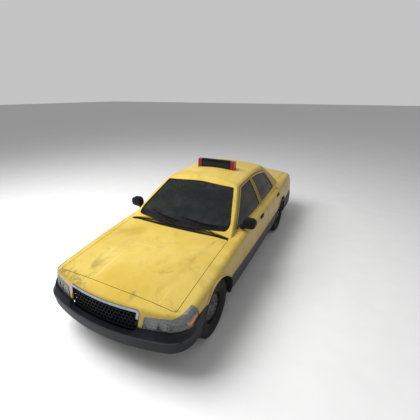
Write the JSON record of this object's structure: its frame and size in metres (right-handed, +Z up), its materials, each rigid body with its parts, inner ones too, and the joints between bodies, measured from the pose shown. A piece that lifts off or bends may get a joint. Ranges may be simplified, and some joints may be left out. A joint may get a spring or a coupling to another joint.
{
  "type": "taxi cab",
  "caption": "Full-size four-door sedan taxi cab with a roof sign, opening doors, hood and trunk lid, steered front wheels and rolling wheels.",
  "frame": {"origin": "on the ground, under the middle of the overall length and width", "axes": "+X to the cab's left, -Y forwards, +Z up"},
  "size_m": [2.102, 5.2596, 1.6079],
  "materials": {
    "paint_yellow": "worn solid yellow enamel, dusty and scuffed",
    "trim_charcoal": "moulded charcoal trim",
    "glass_tinted": "grey tinted safety glass",
    "glass_clear": "laminated windscreen",
    "lamp_clear": "weathered clear lens",
    "lamp_red": "red lens",
    "lamp_amber": "amber marker lens",
    "grille_chrome": "tarnished bright bar over a dark mesh",
    "steel_black": "black chassis paint",
    "floor_paint": "underseal",
    "engine_iron": "oily cast iron and alloy",
    "radiator_metal": "finned aluminium",
    "exhaust_steel": "heat-stained steel",
    "tyre_rubber": "dusty road tyre",
    "seat_vinyl": "dark grey vinyl",
    "interior_plastic": "grained dark plastic"
  },
  "bodies": {
    "body": {"body_side_left": "paint_yellow", "body_side_right": "paint_yellow", "bumper_front": "trim_charcoal", "bumper_rear": "trim_charcoal", "cowl": "trim_charcoal", "dashboard": "interior_plastic", "driveline": "engine_iron", "engine": "engine_iron", "exhaust": "exhaust_steel", "fender_left": "paint_yellow", "fender_right": "paint_yellow", "frame": "steel_black", "front_aprons": "steel_black", "front_seats": "seat_vinyl", "front_suspension": "steel_black", "fuel_tank": "steel_black", "grille": "trim_charcoal", "grille_bar": "grille_chrome", "headlamps": "lamp_clear", "marker_lamps": "lamp_amber", "nose_panel": "paint_yellow", "radiator": "radiator_metal", "rear_axle": "steel_black", "rear_deck": "paint_yellow", "rear_seat": "seat_vinyl", "rear_window": "glass_tinted", "roof": "paint_yellow", "roof_sign": "trim_charcoal", "sign_lamps": "lamp_red", "steering_wheel": "interior_plastic", "tail_lamps": "lamp_red", "tail_panel": "paint_yellow", "underbody": "floor_paint", "windscreen": "glass_clear"},
    "door_front_left": {"door_front_left": "paint_yellow", "door_glass_front_left": "glass_tinted", "mirror_left": "trim_charcoal"},
    "door_rear_left": {"door_rear_left": "paint_yellow", "door_glass_rear_left": "glass_tinted"},
    "knuckle_left": {"knuckle_left": "steel_black"},
    "wheel_front_left": {"wheel_front_left": "steel_black", "tyre_front_left": "tyre_rubber"},
    "wheel_rear_left": {"wheel_rear_left": "steel_black", "tyre_rear_left": "tyre_rubber"},
    "door_front_right": {"door_front_right": "paint_yellow", "door_glass_front_right": "glass_tinted", "mirror_right": "trim_charcoal"},
    "door_rear_right": {"door_rear_right": "paint_yellow", "door_glass_rear_right": "glass_tinted"},
    "knuckle_right": {"knuckle_right": "steel_black"},
    "wheel_front_right": {"wheel_front_right": "steel_black", "tyre_front_right": "tyre_rubber"},
    "wheel_rear_right": {"wheel_rear_right": "steel_black", "tyre_rear_right": "tyre_rubber"},
    "hood": {"hood": "paint_yellow"},
    "trunk_lid": {"trunk_lid": "paint_yellow"}
  },
  "joints": [
    {"name": "front_door_left", "type": "hinge", "parent": "body", "child": "door_front_left", "pos_m": [0.986, -1.002, 0.62], "axis": [0, 0, -1], "range_deg": [0, 65]},
    {"name": "rear_door_left", "type": "hinge", "parent": "body", "child": "door_rear_left", "pos_m": [0.987, 0.2265, 0.62], "axis": [0, 0, -1], "range_deg": [0, 65]},
    {"name": "steer_left", "type": "hinge", "parent": "body", "child": "knuckle_left", "pos_m": [0.725, -1.73, 0.355], "axis": [0, 0, 1], "range_deg": [-35, 35]},
    {"name": "roll_front_left", "type": "hinge", "parent": "knuckle_left", "child": "wheel_front_left", "pos_m": [0.802, -1.73, 0.355], "axis": [1, 0, 0], "continuous": true},
    {"name": "roll_rear_left", "type": "hinge", "parent": "body", "child": "wheel_rear_left", "pos_m": [0.833, 1.295, 0.355], "axis": [1, 0, 0], "continuous": true},
    {"name": "front_door_right", "type": "hinge", "parent": "body", "child": "door_front_right", "pos_m": [-0.986, -1.002, 0.62], "axis": [0, 0, 1], "range_deg": [0, 65]},
    {"name": "rear_door_right", "type": "hinge", "parent": "body", "child": "door_rear_right", "pos_m": [-0.987, 0.2265, 0.62], "axis": [0, 0, 1], "range_deg": [0, 65]},
    {"name": "steer_right", "type": "hinge", "parent": "body", "child": "knuckle_right", "pos_m": [-0.725, -1.73, 0.355], "axis": [0, 0, 1], "range_deg": [-35, 35]},
    {"name": "roll_front_right", "type": "hinge", "parent": "knuckle_right", "child": "wheel_front_right", "pos_m": [-0.802, -1.73, 0.355], "axis": [1, 0, 0], "continuous": true},
    {"name": "roll_rear_right", "type": "hinge", "parent": "body", "child": "wheel_rear_right", "pos_m": [-0.833, 1.295, 0.355], "axis": [1, 0, 0], "continuous": true},
    {"name": "hood_lift", "type": "hinge", "parent": "body", "child": "hood", "pos_m": [0, -0.995, 0.968], "axis": [-1, 0, 0], "range_deg": [0, 55]},
    {"name": "trunk_lift", "type": "hinge", "parent": "body", "child": "trunk_lid", "pos_m": [0, 1.7, 1.035], "axis": [1, 0, 0], "range_deg": [0, 80]}
  ],
  "couplings": [
    {"joint": "steer_right", "follows": "steer_left", "ratio": 1}
  ]
}
